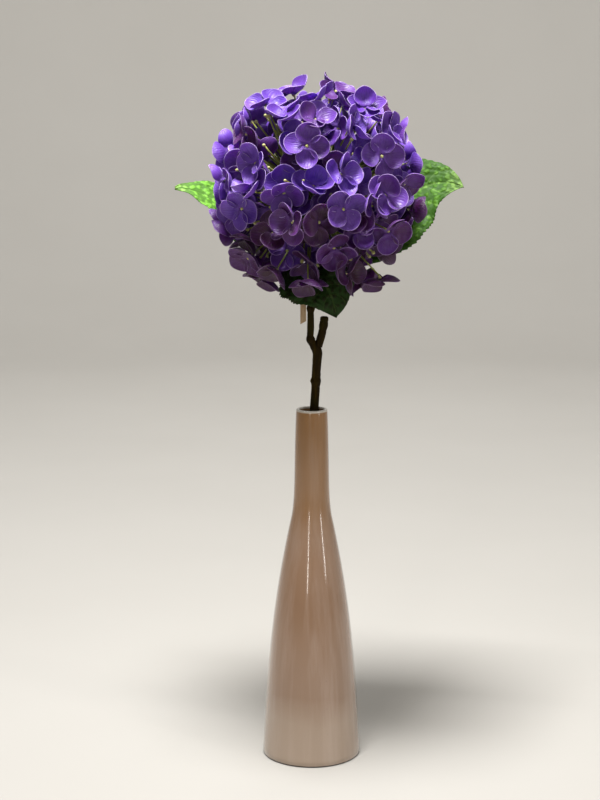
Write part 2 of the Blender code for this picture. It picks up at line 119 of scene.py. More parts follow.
def put(name, mesh, material, slot, *nodes):
    """Link a finished piece, give it its finish, and let it stand for its CAD nodes."""
    piece = bpy.data.objects.new(name, mesh)
    bpy.context.scene.collection.objects.link(piece)
    if not mesh.materials:
        mesh.materials.append(material)
    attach(piece, "root")
    if nodes:
        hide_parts(*nodes)


def smooth(mesh):
    """Shade a mesh smooth all over."""
    mesh.polygons.foreach_set("use_smooth", [True] * len(mesh.polygons))
    mesh.update()


def turned_mesh(name, profile, steps, join, closed):
    """A profile of (radius, height) turned about the upright axis."""
    bm = bmesh.new()
    corners = [bm.verts.new((radius, 0, height)) for radius, height in profile]
    edges = [bm.edges.new(pair) for pair in zip(corners, corners[1:])]
    bmesh.ops.spin(
        bm,
        geom=corners + edges,
        cent=(0, 0, 0),
        axis=(0, 0, 1),
        angle=math.tau,
        steps=steps,
        use_merge=True,
    )
    bmesh.ops.remove_doubles(bm, verts=bm.verts, dist=join)
    if closed:
        bmesh.ops.recalc_face_normals(bm, faces=bm.faces)
    mesh = bpy.data.meshes.new(name)
    bm.to_mesh(mesh)
    bm.free()
    smooth(mesh)
    return mesh


def grid_normals(grid):
    """Unit normals of a grid of points, rows by columns."""
    along = np.gradient(grid, axis=0)
    across = np.gradient(grid, axis=1)
    normal = np.cross(along, across)
    length = np.linalg.norm(normal, axis=2, keepdims=True)
    flat = length[..., 0] < 1e-12
    normal = normal / np.maximum(length, 1e-12)
    if flat.any():
        normal[flat] = normal[~flat].mean(axis=0)
    return normal / np.maximum(np.linalg.norm(normal, axis=2, keepdims=True), 1e-9)


def sheet_solid(grid, thickness):
    """Corners and faces of a closed thin sheet laid on both sides of a grid of points."""
    rows, columns, _ = grid.shape
    offset = grid_normals(grid) * thickness / 2
    points = np.concatenate([(grid + offset).reshape(-1, 3), (grid - offset).reshape(-1, 3)])
    under = rows * columns
    faces = []
    for row in range(rows - 1):
        for column in range(columns - 1):
            a = row * columns + column
            b, c, d = a + columns, a + columns + 1, a + 1
            faces.append((a, b, c, d))
            faces.append((a + under, d + under, c + under, b + under))
    border = list(range(columns))
    border += [row * columns + columns - 1 for row in range(1, rows)]
    border += [(rows - 1) * columns + column for column in range(columns - 2, -1, -1)]
    border += [row * columns for row in range(rows - 2, 0, -1)]
    for number, a in enumerate(border):
        b = border[(number + 1) % len(border)]
        faces.append((a, b, b + under, a + under))
    return points, faces


class Cloth:
    """Gathers thin sheets into one mesh, with their maps and tints; a tint also carries painted shade.
    """

    def __init__(self):
        self.points = []
        self.faces = []
        self.maps = []
        self.tints_and_painted_shades = []
        self.rims = []
        self.count = 0

    def add(self, grid, thickness, across, along, rim, tint_and_painted_shade):
        points, faces = sheet_solid(grid, thickness)
        self.faces += [tuple(index + self.count for index in face) for face in faces]
        self.points.append(points)
        size = grid.shape[0] * grid.shape[1]
        chart = np.stack([across, along], axis=-1).reshape(size, 2)
        self.maps.append(np.concatenate([chart, chart]))
        self.rims.append(np.tile(rim.reshape(size), 2))
        self.tints_and_painted_shades.append(np.full(size * 2, tint_and_painted_shade))
        self.count += size * 2

    def mesh(self, name):
        mesh = bpy.data.meshes.new(name)
        mesh.from_pydata(np.concatenate(self.points).tolist(), [], self.faces)
        for label, values in (("rim", self.rims), ("tint_and_painted_shade", self.tints_and_painted_shades)):
            layer = mesh.attributes.new(label, "FLOAT", "POINT")
            layer.data.foreach_set("value", np.concatenate(values).astype(np.float32))
        chart = np.concatenate(self.maps)
        corners = np.zeros(len(mesh.loops), np.int32)
        mesh.loops.foreach_get("vertex_index", corners)
        layer = mesh.uv_layers.new(name="map")
        layer.data.foreach_set("uv", chart[corners].astype(np.float32).ravel())
        bm = bmesh.new()
        bm.from_mesh(mesh)
        bmesh.ops.remove_doubles(bm, verts=bm.verts, dist=0.000004)
        bmesh.ops.dissolve_degenerate(bm, edges=bm.edges, dist=0.000002)
        bmesh.ops.recalc_face_normals(bm, faces=bm.faces)
        bm.to_mesh(mesh)
        bm.free()
        smooth(mesh)
        return mesh


# Materials


class Finish:
    """A short way of building a Principled material out of nodes."""

    def __init__(self, name, roughness, **constants):
        self.material = bpy.data.materials.new(name)
        self.material.use_nodes = True
        self.nodes = self.material.node_tree.nodes
        self.links = self.material.node_tree.links
        self.shader = self.nodes["Principled BSDF"]
        self.shader.inputs["Roughness"].default_value = roughness
        for label, value in constants.items():
            self.shader.inputs[label.replace("_", " ")].default_value = value

    def node(self, kind, **settings):
        made = self.nodes.new(kind)
        for label, value in settings.items():
            setattr(made, label, value)
        return made

    def link(self, source, target):
        self.links.new(source, target)

    def place(self):
        return self.node("ShaderNodeTexCoord").outputs["Object"]

    def chart(self):
        return self.node("ShaderNodeUVMap", uv_map="map").outputs["UV"]

    def value_of(self, label):
        return self.node("ShaderNodeAttribute", attribute_name=label).outputs["Fac"]

    def split(self, vector):
        parts = self.node("ShaderNodeSeparateXYZ")
        self.link(vector, parts.inputs[0])
        return parts.outputs

    def noise(self, scale, detail=4, rough=0.55, stretch=None):
        made = self.node("ShaderNodeTexNoise")
        made.inputs["Scale"].default_value = scale
        made.inputs["Detail"].default_value = detail
        made.inputs["Roughness"].default_value = rough
        vector = self.place()
        if stretch:
            mapping = self.node("ShaderNodeMapping")
            mapping.inputs["Scale"].default_value = stretch
            self.link(vector, mapping.inputs["Vector"])
            vector = mapping.outputs[0]
        self.link(vector, made.inputs["Vector"])
        return made.outputs["Fac"]

    def maths(self, operation, first, second=None):
        made = self.node("ShaderNodeMath", operation=operation)
        for socket, value in zip(made.inputs, (first, second)):
            if value is None:
                continue
            if isinstance(value, (int, float)):
                socket.default_value = value
            else:
                self.link(value, socket)
        return made.outputs[0]

    def between(self, value, low, high, out_low=0.0, out_high=1.0):
        made = self.node("ShaderNodeMapRange", interpolation_type="SMOOTHSTEP")
        self.link(value, made.inputs["Value"])
        for label, number in (
            ("From Min", low),
            ("From Max", high),
            ("To Min", out_low),
            ("To Max", out_high),
        ):
            made.inputs[label].default_value = number
        return made.outputs[0]

    def ramp(self, value, *stops):
        made = self.node("ShaderNodeValToRGB")
        elements = made.color_ramp.elements
        while len(elements) < len(stops):
            elements.new(0.5)
        for element, (position, colour) in zip(elements, stops):
            element.position = position
            element.color = (*colour, 1)
        self.link(value, made.inputs[0])
        return made.outputs[0]

    def mix(self, amount, first, second):
        made = self.node("ShaderNodeMix", data_type="RGBA")
        sockets = (made.inputs[0], made.inputs[6], made.inputs[7])
        for socket, value in zip(sockets, (amount, first, second)):
            if isinstance(value, (int, float)):
                socket.default_value = value
            elif isinstance(value, tuple):
                socket.default_value = (*value, 1)
            else:
                self.link(value, socket)
        return made.outputs[2]

    def colour(self, source):
        self.link(source, self.shader.inputs["Base Color"])

    def rough(self, source):
        self.link(source, self.shader.inputs["Roughness"])

    def bump(self, *layers):
        """Layers of (height, strength, distance), each over the last."""
        below = None
        for height, strength, distance in layers:
            made = self.node("ShaderNodeBump")
            made.inputs["Strength"].default_value = strength
            made.inputs["Distance"].default_value = distance
            self.link(height, made.inputs["Height"])
            if below:
                self.link(below, made.inputs["Normal"])
            below = made.outputs[0]
        self.link(below, self.shader.inputs["Normal"])


def petal_finish():
    """Satin cloth from blue-violet to plum, with painted shade on the lower florets, a painted
    highlight toward each petal's end, fanned veins and a pale cut edge.
    """
    cloth = Finish("violet_petal_cloth", 0.46, Sheen_Weight=0.25, Sheen_Roughness=0.35)
    cloth.shader.inputs["Sheen Tint"].default_value = (0.62, 0.50, 1.0, 1)
    cloth.shader.inputs["Subsurface Weight"].default_value = 0.06
    cloth.shader.inputs["Subsurface Scale"].default_value = 0.004
    cloth.shader.inputs["Subsurface Radius"].default_value = (0.6, 0.2, 1.0)
    chart = cloth.split(cloth.chart())
    across = cloth.maths("SUBTRACT", chart[0], 0.5)
    along = chart[1]
    fan = cloth.maths("DIVIDE", across, cloth.maths("ADD", along, 0.22))
    wander = cloth.maths("MULTIPLY", cloth.maths("SUBTRACT", cloth.noise(180), 0.5), 0.16)
    angle = cloth.maths("MULTIPLY", cloth.maths("ADD", fan, wander), 34)
    vein = cloth.maths("POWER", cloth.maths("ABSOLUTE", cloth.maths("SINE", angle)), 0.45)
    tint_and_painted_shade = cloth.value_of("tint_and_painted_shade")
    # From blue-violet to near-black plum as the tint rises: the shift in hue is the cloth's own, the
    # darkening is painted shade on the lower florets.
    violet = cloth.ramp(
        tint_and_painted_shade,
        (0.0, (0.080, 0.019, 0.345)),
        (0.35, (0.088, 0.017, 0.250)),
        (0.65, (0.064, 0.005, 0.082)),
        (1.0, (0.034, 0.002, 0.014)),
    )
    # Falls as the tint rises, so the blush, mottle and pale edge dim on florets painted into shade.
    blue_and_painted_light = cloth.between(tint_and_painted_shade, 0.25, 0.95, 1.0, 0.12)
    blush = cloth.maths("MULTIPLY", cloth.between(along, 0.0, 0.35, 0.75, 0.0), blue_and_painted_light)
    body = cloth.mix(blush, violet, (0.130, 0.050, 0.300))
    mottle = cloth.between(cloth.noise(120, 3), 0.35, 0.68)
    mottle = cloth.maths("MULTIPLY", cloth.maths("MULTIPLY", mottle, 0.40), blue_and_painted_light)
    body = cloth.mix(mottle, body, (0.190, 0.076, 0.490))
    # Painted highlight: the outer half of each petal is lightened toward lavender, less on florets
    # painted into shade.
    lit_end = cloth.between(along, 0.35, 1.0)
    painted_highlight = cloth.maths("MULTIPLY", lit_end, cloth.between(tint_and_painted_shade, 0.15, 0.75, 0.5, 0.05))
    body = cloth.mix(painted_highlight, body, (0.245, 0.120, 0.580))
    dark_vein = cloth.between(vein, 0.0, 0.75, 0.42, 0.0)
    body = cloth.mix(dark_vein, body, (0.045, 0.008, 0.120))
    rim = cloth.between(cloth.value_of("rim"), 0.915, 0.99)
    ragged = cloth.between(cloth.noise(420, 2), 0.30, 0.62, 0.55, 1.0)
    edge = cloth.mix(blue_and_painted_light, (0.130, 0.050, 0.120), (0.540, 0.380, 0.780))
    cloth.colour(cloth.mix(cloth.maths("MULTIPLY", rim, ragged), body, edge))
    cloth.rough(cloth.between(cloth.noise(260, 3), 0.3, 0.7, 0.38, 0.54))
    weave = cloth.noise(2600, 2, 0.5)
    cloth.bump((vein, 0.55, 0.0004), (weave, 0.25, 0.00012))
    return cloth.material


def leaf_finish():
    """Coated green cloth, with pale veins, painted shade in the creases between them and a paler tip;
    each leaf's tone darkens it, as painted shade on the front leaf.
    """
    leaf = Finish("coated_leaf_cloth", 0.58, Specular_IOR_Level=0.16)
    chart = leaf.split(leaf.chart())
    side = leaf.maths("ABSOLUTE", leaf.maths("SUBTRACT", leaf.maths("MULTIPLY", chart[0], 2), 1))
    along = chart[1]
    slanted = leaf.maths("SUBTRACT", along, leaf.maths("MULTIPLY", side, LEAF_VEIN_SLANT))
    wave = leaf.maths("COSINE", leaf.maths("MULTIPLY", slanted, math.tau * LEAF_VEINS))
    side_vein = leaf.between(wave, 0.93, 1.0)
    midrib = leaf.between(side, 0.025, 0.07, 1.0, 0.0)
    veins = leaf.maths("MAXIMUM", leaf.maths("MULTIPLY", side_vein, 0.65), midrib)
    cells = leaf.node("ShaderNodeTexVoronoi", feature="SMOOTH_F1")
    cells.inputs["Scale"].default_value = 200
    cells.inputs["Smoothness"].default_value = 0.6
    wander = leaf.node("ShaderNodeVectorMath", operation="MULTIPLY_ADD")
    blur = leaf.node("ShaderNodeTexNoise")
    blur.inputs["Scale"].default_value = 170
    leaf.link(leaf.place(), blur.inputs["Vector"])
    leaf.link(blur.outputs["Color"], wander.inputs[0])
    wander.inputs[1].default_value = (0.004, 0.004, 0.004)
    leaf.link(leaf.place(), wander.inputs[2])
    leaf.link(wander.outputs[0], cells.inputs["Vector"])
    net = leaf.between(cells.outputs["Distance"], 0.15, 0.62, 1.0, 0.0)
    # The tint attribute carries each leaf's tone, which on the front leaf is painted shade; it darkens
    # the green and fades the patches, pale tip and veins.
    tone = leaf.value_of("tint_and_painted_shade")
    green = leaf.ramp(
        tone,
        (0.0, (0.013, 0.020, 0.003)),
        (0.5, (0.060, 0.165, 0.010)),
        (1.0, (0.150, 0.370, 0.040)),
    )
    patches = leaf.between(leaf.noise(45, 5), 0.40, 0.80)
    painted_light_share = leaf.between(tone, 0.0, 0.5)
    patches = leaf.maths("MULTIPLY", patches, painted_light_share)
    green = leaf.mix(leaf.maths("MULTIPLY", patches, 0.30), green, (0.160, 0.330, 0.040))
    pale_tip = leaf.maths("MULTIPLY", leaf.between(along, 0.86, 1.0, 0.0, 0.4), painted_light_share)
    green = leaf.mix(pale_tip, green, (0.400, 0.560, 0.200))
    veins = leaf.maths("MULTIPLY", veins, leaf.between(tone, 0.0, 0.5, 0.12, 0.50))
    green = leaf.mix(veins, green, (0.260, 0.460, 0.100))
    # Painted shade in the creases between the quilted cells.
    leaf.colour(leaf.mix(leaf.between(net, 0.0, 0.8, 0.62, 0.0), green, (0.014, 0.050, 0.006)))
    leaf.rough(leaf.between(leaf.noise(150, 4), 0.3, 0.7, 0.50, 0.68))
    leaf.bump((net, 0.6, 0.0012), (leaf.noise(900, 3), 0.25, 0.0002))
    return leaf.material


def glaze_finish():
    """Dusty pink-beige glaze, with painted shade browning the neck under the bloom, a paler band near
    the foot and pale vertical streaks painted as reflections, cream at the lip, and dark and rough in a
    thin band at the very bottom.
    """
    glaze = Finish("blush_glaze", 0.20)
    glaze.shader.inputs["Coat Weight"].default_value = 0.9
    glaze.shader.inputs["Coat Roughness"].default_value = 0.05
    glaze.shader.inputs["Coat IOR"].default_value = 1.55
    height = glaze.split(glaze.place())[2]
    share = glaze.maths("DIVIDE", height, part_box("vase")[1].z)
    drift = glaze.maths("MULTIPLY", glaze.maths("SUBTRACT", glaze.noise(9, 3), 0.5), 0.09)
    # Colour by height on the glaze's own dusty pink-beige: the paler band near the foot is a painted
    # reflection of the floor, the lighter shoulder is partly painted reflection, and the browner neck
    # is painted shade under the bloom.
    tone_and_painted_light = glaze.ramp(
        glaze.maths("ADD", share, drift),
        (0.0, (0.390, 0.289, 0.212)),
        (0.12, (0.347, 0.250, 0.177)),
        (0.19, (0.262, 0.157, 0.094)),
        (0.45, (0.287, 0.167, 0.098)),
        (0.64, (0.357, 0.220, 0.140)),
        (0.73, (0.350, 0.190, 0.088)),
        (1.0, (0.345, 0.178, 0.068)),
    )
    # Painted reflection: pale vertical streaks lighten the glaze.
    painted_reflection_streak = glaze.noise(60, 4, 0.6, stretch=(1, 1, 0.05))
    tone_and_painted_light = glaze.mix(glaze.between(painted_reflection_streak, 0.40, 0.75, 0.0, 0.22), tone_and_painted_light, (0.620, 0.500, 0.430))
    fleck = glaze.between(glaze.noise(520, 2), 0.70, 0.78, 0.0, 0.35)
    tone_and_painted_light = glaze.mix(fleck, tone_and_painted_light, (0.200, 0.120, 0.080))
    ragged = glaze.maths("ADD", share, glaze.maths("MULTIPLY", drift, 0.03))
    lip = glaze.between(ragged, 0.992, 0.997)
    tone_and_painted_light = glaze.mix(lip, tone_and_painted_light, (0.780, 0.740, 0.660))
    # Darker and rougher in a thin band at the very bottom.
    bare = glaze.between(height, 0.0009, 0.0018, 1.0, 0.0)
    glaze.colour(glaze.mix(bare, tone_and_painted_light, (0.045, 0.028, 0.020)))
    glaze.rough(glaze.mix(bare, (0.20, 0.20, 0.20), (0.85, 0.85, 0.85)))
    glaze.bump((glaze.noise(28, 3), 0.10, 0.0012), (glaze.noise(240, 3), 0.05, 0.0003))
    return glaze.material


def stem_finish():
    """Moulded plastic stem: streaked olive brown with greener patches."""
    bark = Finish("olive_stem_plastic", 0.60, Specular_IOR_Level=0.06)
    streaks = bark.noise(260, 5, 0.6, stretch=(1, 1, 0.12))
    tone = bark.ramp(
        streaks,
        (0.25, (0.006, 0.0035, 0.0005)),
        (0.52, (0.020, 0.0110, 0.0012)),
        (0.78, (0.056, 0.036, 0.004)),
    )
    green = bark.between(bark.noise(40, 3), 0.42, 0.66, 0.0, 0.55)
    bark.colour(bark.mix(green, tone, (0.022, 0.020, 0.002)))
    bark.rough(bark.between(streaks, 0.3, 0.7, 0.50, 0.72))
    grain = bark.noise(900, 4, 0.6, stretch=(1, 1, 0.25))
    bark.bump((streaks, 0.5, 0.0008), (grain, 0.35, 0.0003))
    return bark.material


def spray_finish():
    """Pale green moulded stalks, yellower at the buds."""
    plastic = Finish("pale_green_plastic", 0.42)
    plastic.shader.inputs["Subsurface Weight"].default_value = 0.10
    plastic.shader.inputs["Subsurface Scale"].default_value = 0.003
    tone = plastic.ramp(
        plastic.value_of("bud"),
        (0.0, (0.120, 0.160, 0.030)),
        (0.6, (0.330, 0.360, 0.070)),
        (1.0, (0.640, 0.620, 0.230)),
    )
    mottle = plastic.between(plastic.noise(500, 3), 0.35, 0.7, 0.0, 0.4)
    plastic.colour(plastic.mix(mottle, tone, (0.200, 0.250, 0.050)))
    plastic.bump((plastic.noise(1400, 3), 0.3, 0.0002))
    return plastic.material


def paper_finish():
    """Unprinted brown paper with its fibres and a little fading."""
    paper = Finish("kraft_paper", 0.85)
    fibres = paper.noise(700, 5, 0.65, stretch=(1, 1, 0.2))
    tone = paper.ramp(
        fibres,
        (0.30, (0.300, 0.190, 0.100)),
        (0.55, (0.440, 0.300, 0.170)),
        (0.80, (0.560, 0.420, 0.270)),
    )
    faded = paper.between(paper.noise(60), 0.4, 0.7, 0.0, 0.3)
    paper.colour(paper.mix(faded, tone, (0.600, 0.460, 0.310)))
    paper.bump((fibres, 0.4, 0.0002))
    return paper.material


# Vase


def vase_side():
    """The outer side from under the lip to the foot, as (radius, height)."""
    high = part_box("vase")[1]
    neck_base = high.z - VASE_NECK_LENGTH
    top = Vector((VASE_RIM_RADIUS, high.z - VASE_WALL / 2, 0))
    joint = Vector((VASE_NECK_RADIUS, neck_base, 0))
    foot = Vector((high.x, FOOT_CHAMFER, 0))
    neck_handles = (
        top + Vector((NECK_SWELL, -VASE_NECK_LENGTH / 2, 0)),
        joint + Vector((-NECK_FLARE, 1, 0)) * VASE_NECK_LENGTH * SHOULDER_EASE,
    )
    body_handles = (
        joint + Vector((NECK_FLARE, -1, 0)) * neck_base * HIP_EASE,
        foot + Vector((FOOT_FLARE, 1, 0)) * neck_base * FOOT_EASE,
    )
    neck = interpolate_bezier(top, *neck_handles, joint, 36)
    body = interpolate_bezier(joint, *body_handles, foot, 44)
    return [(point.x, point.y) for point in neck + body[1:]]


def make_vase(material):
    """The turned vase, with its wall, rounded lip, filleted floor and chamfered foot."""
    outer = vase_side()
    rim_radius, lip_base = outer[0]
    inner = [(r - VASE_WALL, h) for r, h in reversed(outer) if h > 2 * VASE_FLOOR]
    floor_radius = inner[0][0] - VASE_FLOOR
    profile = [(0, VASE_FLOOR), (floor_radius, VASE_FLOOR)]
    for step in range(1, 6):
        angle = math.pi / 2 * step / 6
        radius = floor_radius + VASE_FLOOR * math.sin(angle)
        profile.append((radius, VASE_FLOOR + VASE_FLOOR * (1 - math.cos(angle))))
    profile += inner
    reach = VASE_WALL / 2
    for step in range(1, 12):
        angle = math.pi - math.pi * step / 12
        radius = rim_radius - reach + reach * math.cos(angle)
        profile.append((radius, lip_base + reach * math.sin(angle)))
    profile += outer
    foot_radius = outer[-1][0]
    profile += [(foot_radius - 0.0005, 0.0004), (foot_radius - FOOT_CHAMFER, 0), (0, 0)]
    mesh = turned_mesh("glazed_vase", profile, 120, 0.00001, closed=True)
    put("glazed_vase", mesh, material, "vase_glaze", "vase")


# Stem


def smooth_route(knots, step):
    """Evenly stepped places and radii along a smooth curve through (place, radius) knots."""
    places = [np.array(place) for place, _ in knots]
    radii = [radius for _, radius in knots]
    places = [2 * places[0] - places[1]] + places + [2 * places[-1] - places[-2]]
    route = []
    for number in range(len(knots) - 1):
        a, b, c, d = places[number : number + 4]
        count = max(2, int(np.linalg.norm(c - b) / step))
        for part in range(count):
            t = part / count
            bend = (
                b * 2
                + (c - a) * t
                + (2 * a - 5 * b + 4 * c - d) * t * t
                + (3 * b - a - 3 * c + d) * t ** 3
            )
            ease = t * t * (3 - 2 * t)
            radius = radii[number] * (1 - ease) + radii[number + 1] * ease
            route.append((Vector(bend / 2), radius))
    route.append((Vector(places[-2]), radii[-1]))
    return route


def ringed(route, nodes, swell):
    """Swell a route at its nodes, with a fine groove above and below each."""
    path = []
    for place, radius in route:
        extra = 0
        for height in nodes:
            away = (place.z - height) / NODE_REACH
            extra += swell * math.exp(-away * away)
            for groove in GROOVE_PLACES:
                notch = (place.z - height - groove) / GROOVE_REACH
                extra -= GROOVE_DEPTH * math.exp(-notch * notch)
        path.append((place, radius + extra, 0.0))
    return path


def make_stem(rim, material):
    """The main stem down to the vase's floor, its nodes, and the cut side stub."""
    low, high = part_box("stem")
    foot = Vector((rim.x - 0.0215, 0, low.z + 0.0003))
    fork = rim + Vector((0.0024, 0, FORK_HEIGHT))
    branch = rim + BRANCH_SHIFT
    main_route = [
        (foot, STEM_RADIUS),
        (rim, 0.00412),
        (rim + Vector((0.0012, 0, LOW_NODE_HEIGHT)), 0.00425),
        (fork - Vector((0, 0, 0.010)), 0.0042),
        (fork, 0.00465),
        (branch + Vector((0, 0, MIDDLE_NODE_HEIGHT)), 0.0034),
        (branch + Vector((0, 0, 0.075)), BRANCH_RADIUS),
        (branch + Vector((0, 0, HIGH_NODE_HEIGHT)), BRANCH_RADIUS),
        (branch + Vector((0, 0, 0.131)), BRANCH_RADIUS),
        (Vector((branch.x + 0.0053, branch.y, high.z)), 0.0028),
    ]
    nodes = [rim.z + height for height in (LOW_NODE_HEIGHT, MIDDLE_NODE_HEIGHT, HIGH_NODE_HEIGHT)]
    path = ringed(smooth_route(main_route, 0.0009), nodes, NODE_SWELL)
    root = fork + Vector((0.0014, 0, 0.004))
    top = rim + Vector((0.0092, 0, 0.0865))
    stub = [
        (root, 0.0037),
        (root.lerp(top, 0.55) + Vector((0.0010, 0, 0)), 0.00385),
        (top - Vector((0, 0, 0.0035)), 0.0041),
        (top - Vector((0, 0, 0.0008)), 0.0038),
        (top, 0.0024),
    ]
    stub_path = ringed(smooth_route(stub, 0.0007), [top.z - 0.0085], 0.0004)
    mesh = grown("moulded_stem", [path, stub_path], 28, material)
    for vertex in mesh.vertices:
        place = vertex.co
        ridge = noise.noise(Vector((place.x * 500, place.y * 500, place.z * 60)))
        lump = noise.noise(place * 160)
        vertex.co = place + vertex.normal * (0.00022 * ridge + 0.0002 * lump)
    put("moulded_stem", mesh, material, "stem_plastic", "stem")


# Leaves


def leaf_width(along, petiole, half_width):
    """Half the leaf's width, with saw teeth along the blade."""
    if along <= petiole:
        return PETIOLE_RADIUS - 0.0003 * along / petiole
    blade = (along - petiole) / (1 - petiole)
    if blade < LEAF_WIDEST:
        rise = math.sin(blade / LEAF_WIDEST * math.pi / 2) ** 0.8
        width = 0.0016 + (half_width - 0.0016) * rise
    else:
        fall = math.cos((blade - LEAF_WIDEST) / (1 - LEAF_WIDEST) * math.pi / 2)
        width = half_width * fall ** 0.85
    tooth = (blade * LEAF_TEETH) % 1.0
    depth = 0.055 * min(1, blade * 5) * min(1, (1 - blade) * 8)
    return max(width * (1 - depth * (1 - tooth)), 0.0002)


LEAVES = {
    "leaf_right": {
        "root": (0.0029, 0.0029, 0.117),
        "route": ((0.043, 0.056, -0.084), (0.084, 0.068, 0.021), (0.141, 0.054, -0.005)),
        "facing": (-0.15, -0.80, 0.50),
        "half_width": 0.044,
        "petiole": 0.20,
        "fold": 0.10,
        "tone": 0.42,
    },
    "leaf_left": {
        "root": (-0.0029, 0.0029, 0.122),
        "route": ((-0.049, 0.050, -0.072), (-0.084, 0.060, -0.006), (-0.134, 0.044, -0.005)),
        "facing": (0.10, -0.45, 0.90),
        "half_width": 0.032,
        "petiole": 0.20,
        "fold": 0.12,
        "tone": 1.0,
    },
    "leaf_front": {
        "root": (0, -0.0051, 0.127),
        "route": ((-0.016, -0.022, -0.070), (0.014, -0.040, -0.080), (0.018, -0.036, -0.1190)),
        "facing": (0.20, -0.75, 0.60),
        "half_width": 0.042,
        "petiole": 0.10,
        "fold": -0.10,
        # Painted shade: this leaf is coloured as if in the bloom's shadow.
        "tone": 0.0,
    },
}


def make_leaf(node, shape, branch, bloom, material):
    """A pressed leaf: puckered between its side veins, saw-toothed and a little twisted."""
    stations = 120
    columns = 41
    route = [branch + Vector(shape["root"])] + [bloom + Vector(place) for place in shape["route"]]
    spine = interpolate_bezier(*route, stations)
    facing = Vector(shape["facing"])
    half_width = shape["half_width"]
    across = np.linspace(-1, 1, columns)
    spread = np.abs(across)
    grid = np.zeros((stations, columns, 3))
    for number, place in enumerate(spine):
        before = spine[max(number - 1, 0)]
        after = spine[min(number + 1, stations - 1)]
        forward = (after - before).normalized()
        up = (facing - forward * facing.dot(forward)).normalized()
        side = forward.cross(up)
        along = number / (stations - 1)
        blade = max(0.0, (along - shape["petiole"]) / (1 - shape["petiole"]))
        reach = leaf_width(along, shape["petiole"], half_width)
        lift = shape["fold"] * half_width * (spread * reach / half_width) ** 1.3
        phase = (along - spread * LEAF_VEIN_SLANT) * LEAF_VEINS % 1.0
        ends = min(1, blade * 6) * min(1, (1 - blade) * 4)
        quilt = np.sin(np.pi * phase) ** 0.7 * (0.75 + 0.25 * np.sin(spread * 30))
        lift = lift + 0.0024 * quilt * ends * spread ** 0.5 * (1 - spread ** 6)
        ruffle = 0.0016 * np.sin(along * 31 + across * 2) + 0.0014 * np.sin(along * 17 - across)
        lift = lift + ruffle * spread ** 3 * min(1, blade * 4)
        lift = lift - 0.0009 * np.exp(-((spread * 12) ** 2)) * min(1, blade * 8)
        row = np.outer(across * reach, side) + np.outer(lift, up)
        grid[number] = row + np.array(place)
    u, v = np.meshgrid((across + 1) / 2, np.linspace(0, 1, stations))
    cloth = Cloth()
    cloth.add(grid, LEAF_CLOTH, u, v, np.abs(u * 2 - 1), shape["tone"])
    put("veined_" + node, cloth.mesh("veined_" + node), material, "leaf_cloth", node)


# Florets


def seat_of(node):
    """Where a CAD floret sits: its hole, the way it faces, its turn, and its petals' slopes."""
    points = unique_points(node)
    centre = points.mean(axis=0)
    spread = points - centre
    axis = np.linalg.svd(spread)[2][2]
    heights = spread @ axis
    radial = spread - np.outer(heights, axis)
    reach = np.linalg.norm(radial, axis=1)
    if heights[reach.argmax()] < heights[reach < 0.003].mean():
        axis, heights = -axis, -heights
    floor = heights[reach < 0.003].min()
    turn = radial[reach.argmax()] / reach.max()
    side = np.cross(axis, turn)
    slopes = []
    for tip_way in (turn, side, -turn, -side):
        tip = (radial @ tip_way).argmax()
        slopes.append((heights[tip] - floor) / (radial[tip] @ tip_way))
    return Vector(centre + axis * floor), Vector(axis), Vector(turn), slopes


def petal_grid(rows, columns, width, cup, lift, ripple, phase):
    """One nearly round, cupped petal, pointing along +X from the floret's middle."""
    share = (1 - np.cos(np.linspace(0, math.pi, rows))) / 2
    grid = np.zeros((rows, columns, 3))
    across = np.linspace(-1, 1, columns)
    rim = np.zeros((rows, columns))
    for row, s in enumerate(share):
        power = 0.80 if s < 0.5 else 0.52
        half = width / 2 * max(math.sin(math.pi * s), 0.0) ** power
        half = max(half, 0.0011 * (1 - s))
        for column, v in enumerate(across):
            y = half * math.sin(v * math.pi / 2) if s > 0.25 else half * v
            x = PETAL_HOLE + (PETAL_LENGTH - PETAL_HOLE) * s
            outward = (s - PETAL_WIDEST) / (1 - PETAL_WIDEST)
            from_middle = min(1.25, math.hypot(outward, y / (width / 2)))
            turn = math.atan2(y, x - PETAL_LENGTH * PETAL_WIDEST)
            bowl = cup * from_middle ** 2.2
            if s <= 0.16:
                bowl *= s / 0.16
            wave = ripple * from_middle ** 4 * math.sin(3 * turn + phase)
            crease = -0.0004 * math.exp(-((y / 0.0016) ** 2)) * math.sin(math.pi * s)
            rise = lift * math.sin(math.pi * min(1, s * 1.6) / 2)
            grid[row, column] = (x, y, bowl + wave + crease + rise)
            if s > 0.5:
                past = (s - 0.5) / 0.5
                rim[row, column] = min(1, math.hypot(past, v * math.sqrt(1 - past ** 2)))
            else:
                rim[row, column] = max(abs(v) if s > 0.12 else 0, s ** 1.5)
    u, v = np.meshgrid((across + 1) / 2, share)
    return grid, u, v, rim


def turned(angle, axis):
    """A rotation as an array, for rows of points."""
    return np.array(Matrix.Rotation(angle, 3, axis)).T


